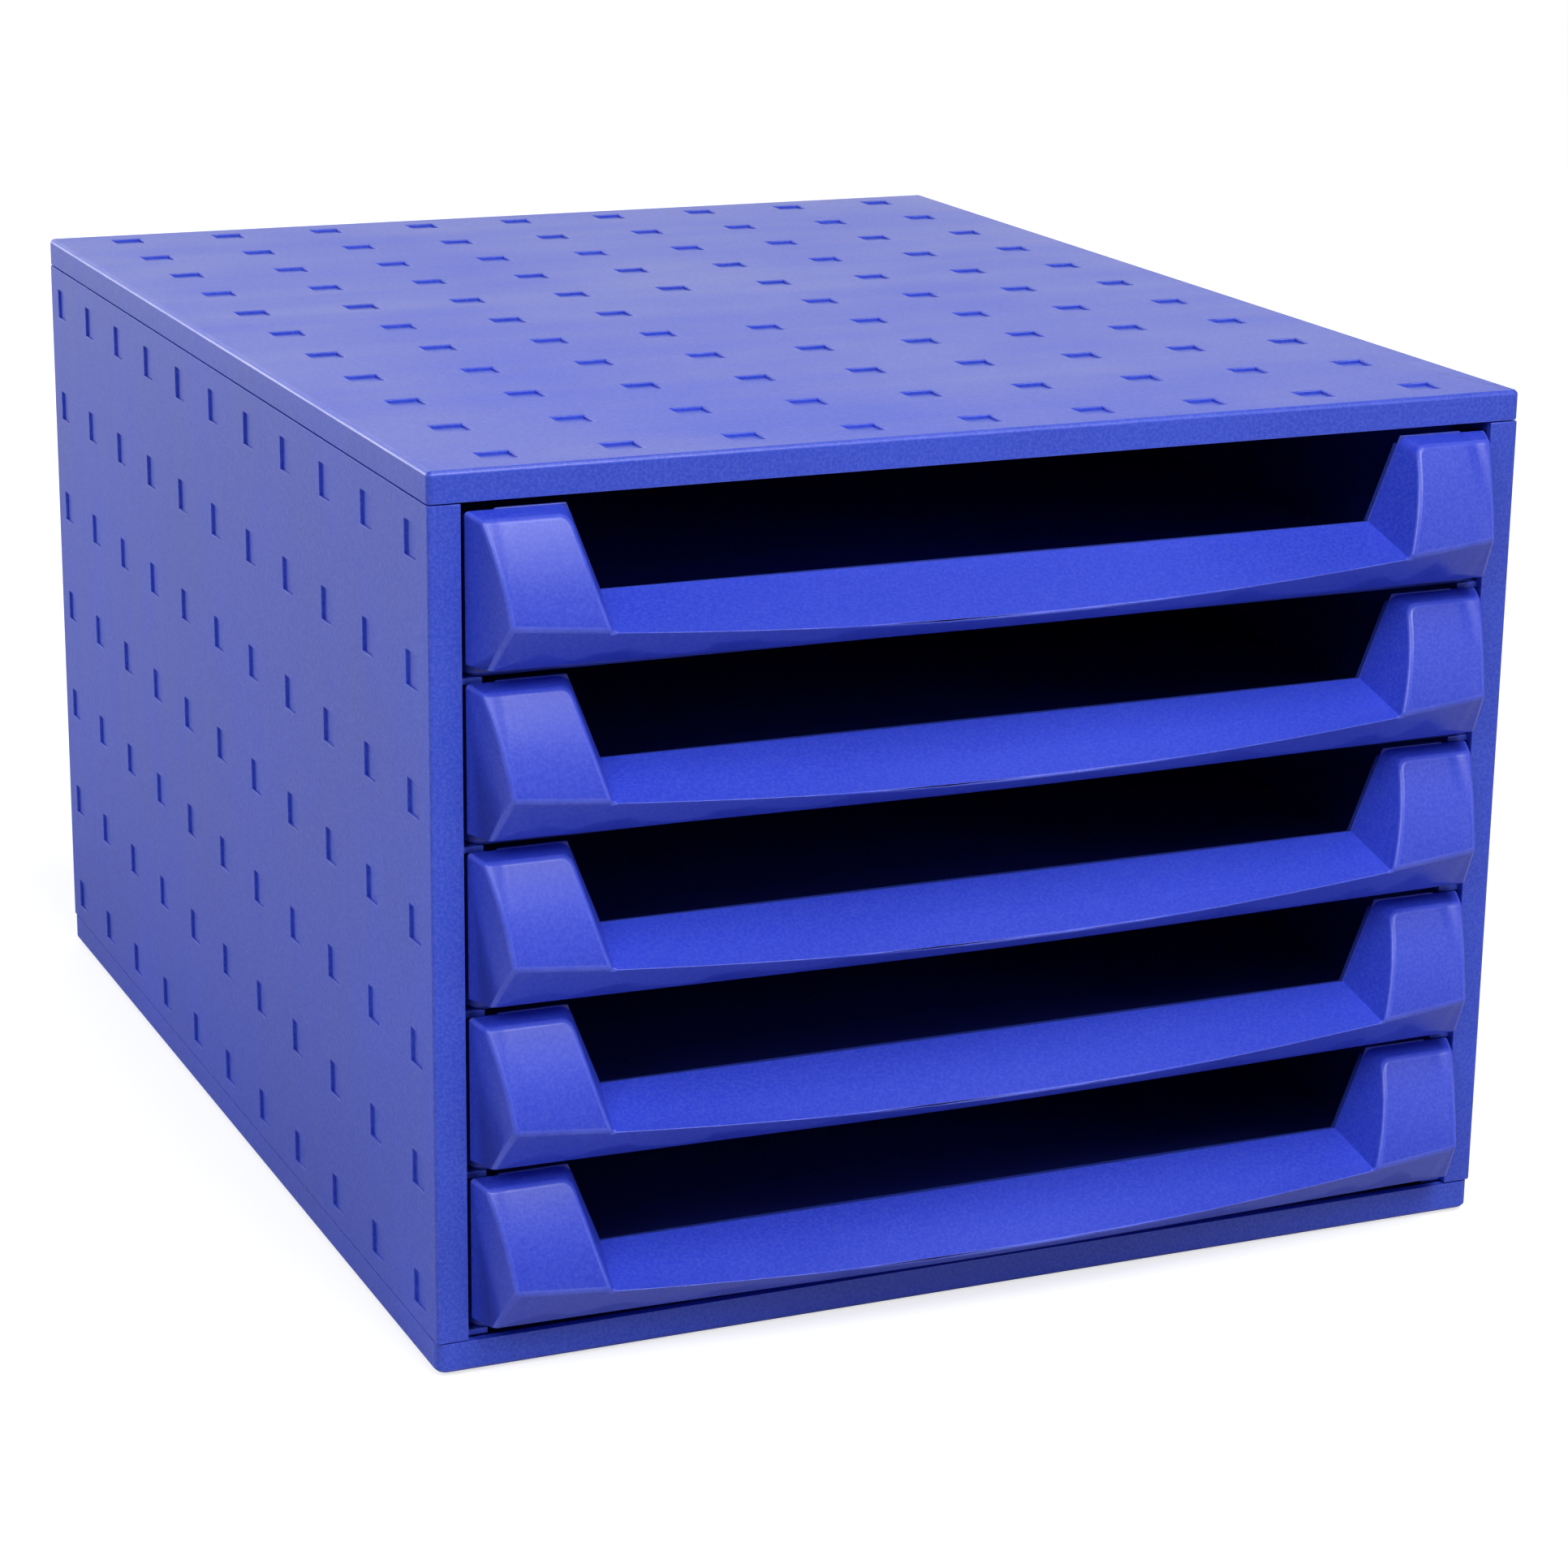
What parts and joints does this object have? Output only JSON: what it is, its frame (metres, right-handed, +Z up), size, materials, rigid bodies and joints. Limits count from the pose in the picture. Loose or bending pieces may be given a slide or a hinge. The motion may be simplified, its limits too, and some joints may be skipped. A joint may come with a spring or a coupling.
{
  "type": "desktop drawer unit",
  "caption": "Desktop drawer unit for documents: a moulded plastic casing with open-fronted sliding trays, each behind a scooped lip between two cheeks.",
  "frame": {"origin": "bottom centre of the unit with its drawers shut, on the surface that it stands on", "axes": "+X to the unit's right seen from the front, +Y to its back, +Z up"},
  "size_m": [0.284, 0.3654, 0.218],
  "materials": {
    "casing_plastic": "satin, fine grain",
    "front_plastic": "satin",
    "tray_plastic": "satin",
    "pad_rubber": "matte"
  },
  "bodies": {
    "casing": {"top_panel": "casing_plastic", "bottom_panel": "casing_plastic", "left_side_panel": "casing_plastic", "right_side_panel": "casing_plastic", "back_panel": "casing_plastic", "foot_front_left": "pad_rubber", "foot_front_right": "pad_rubber", "foot_rear_left": "pad_rubber", "foot_rear_right": "pad_rubber"},
    "drawer_1": {"drawer_tray_1": "tray_plastic", "drawer_front_1": "front_plastic"},
    "drawer_2": {"drawer_tray_2": "tray_plastic", "drawer_front_2": "front_plastic"},
    "drawer_3": {"drawer_tray_3": "tray_plastic", "drawer_front_3": "front_plastic"},
    "drawer_4": {"drawer_tray_4": "tray_plastic", "drawer_front_4": "front_plastic"},
    "drawer_5": {"drawer_tray_5": "tray_plastic", "drawer_front_5": "front_plastic"}
  },
  "joints": [
    {"name": "drawer_1_slide", "type": "slide", "parent": "casing", "child": "drawer_1", "axis": [0, -1, 0], "range_m": [0, 0.2845]},
    {"name": "drawer_2_slide", "type": "slide", "parent": "casing", "child": "drawer_2", "axis": [0, -1, 0], "range_m": [0, 0.2845]},
    {"name": "drawer_3_slide", "type": "slide", "parent": "casing", "child": "drawer_3", "axis": [0, -1, 0], "range_m": [0, 0.2845]},
    {"name": "drawer_4_slide", "type": "slide", "parent": "casing", "child": "drawer_4", "axis": [0, -1, 0], "range_m": [0, 0.2845]},
    {"name": "drawer_5_slide", "type": "slide", "parent": "casing", "child": "drawer_5", "axis": [0, -1, 0], "range_m": [0, 0.2845]}
  ]
}
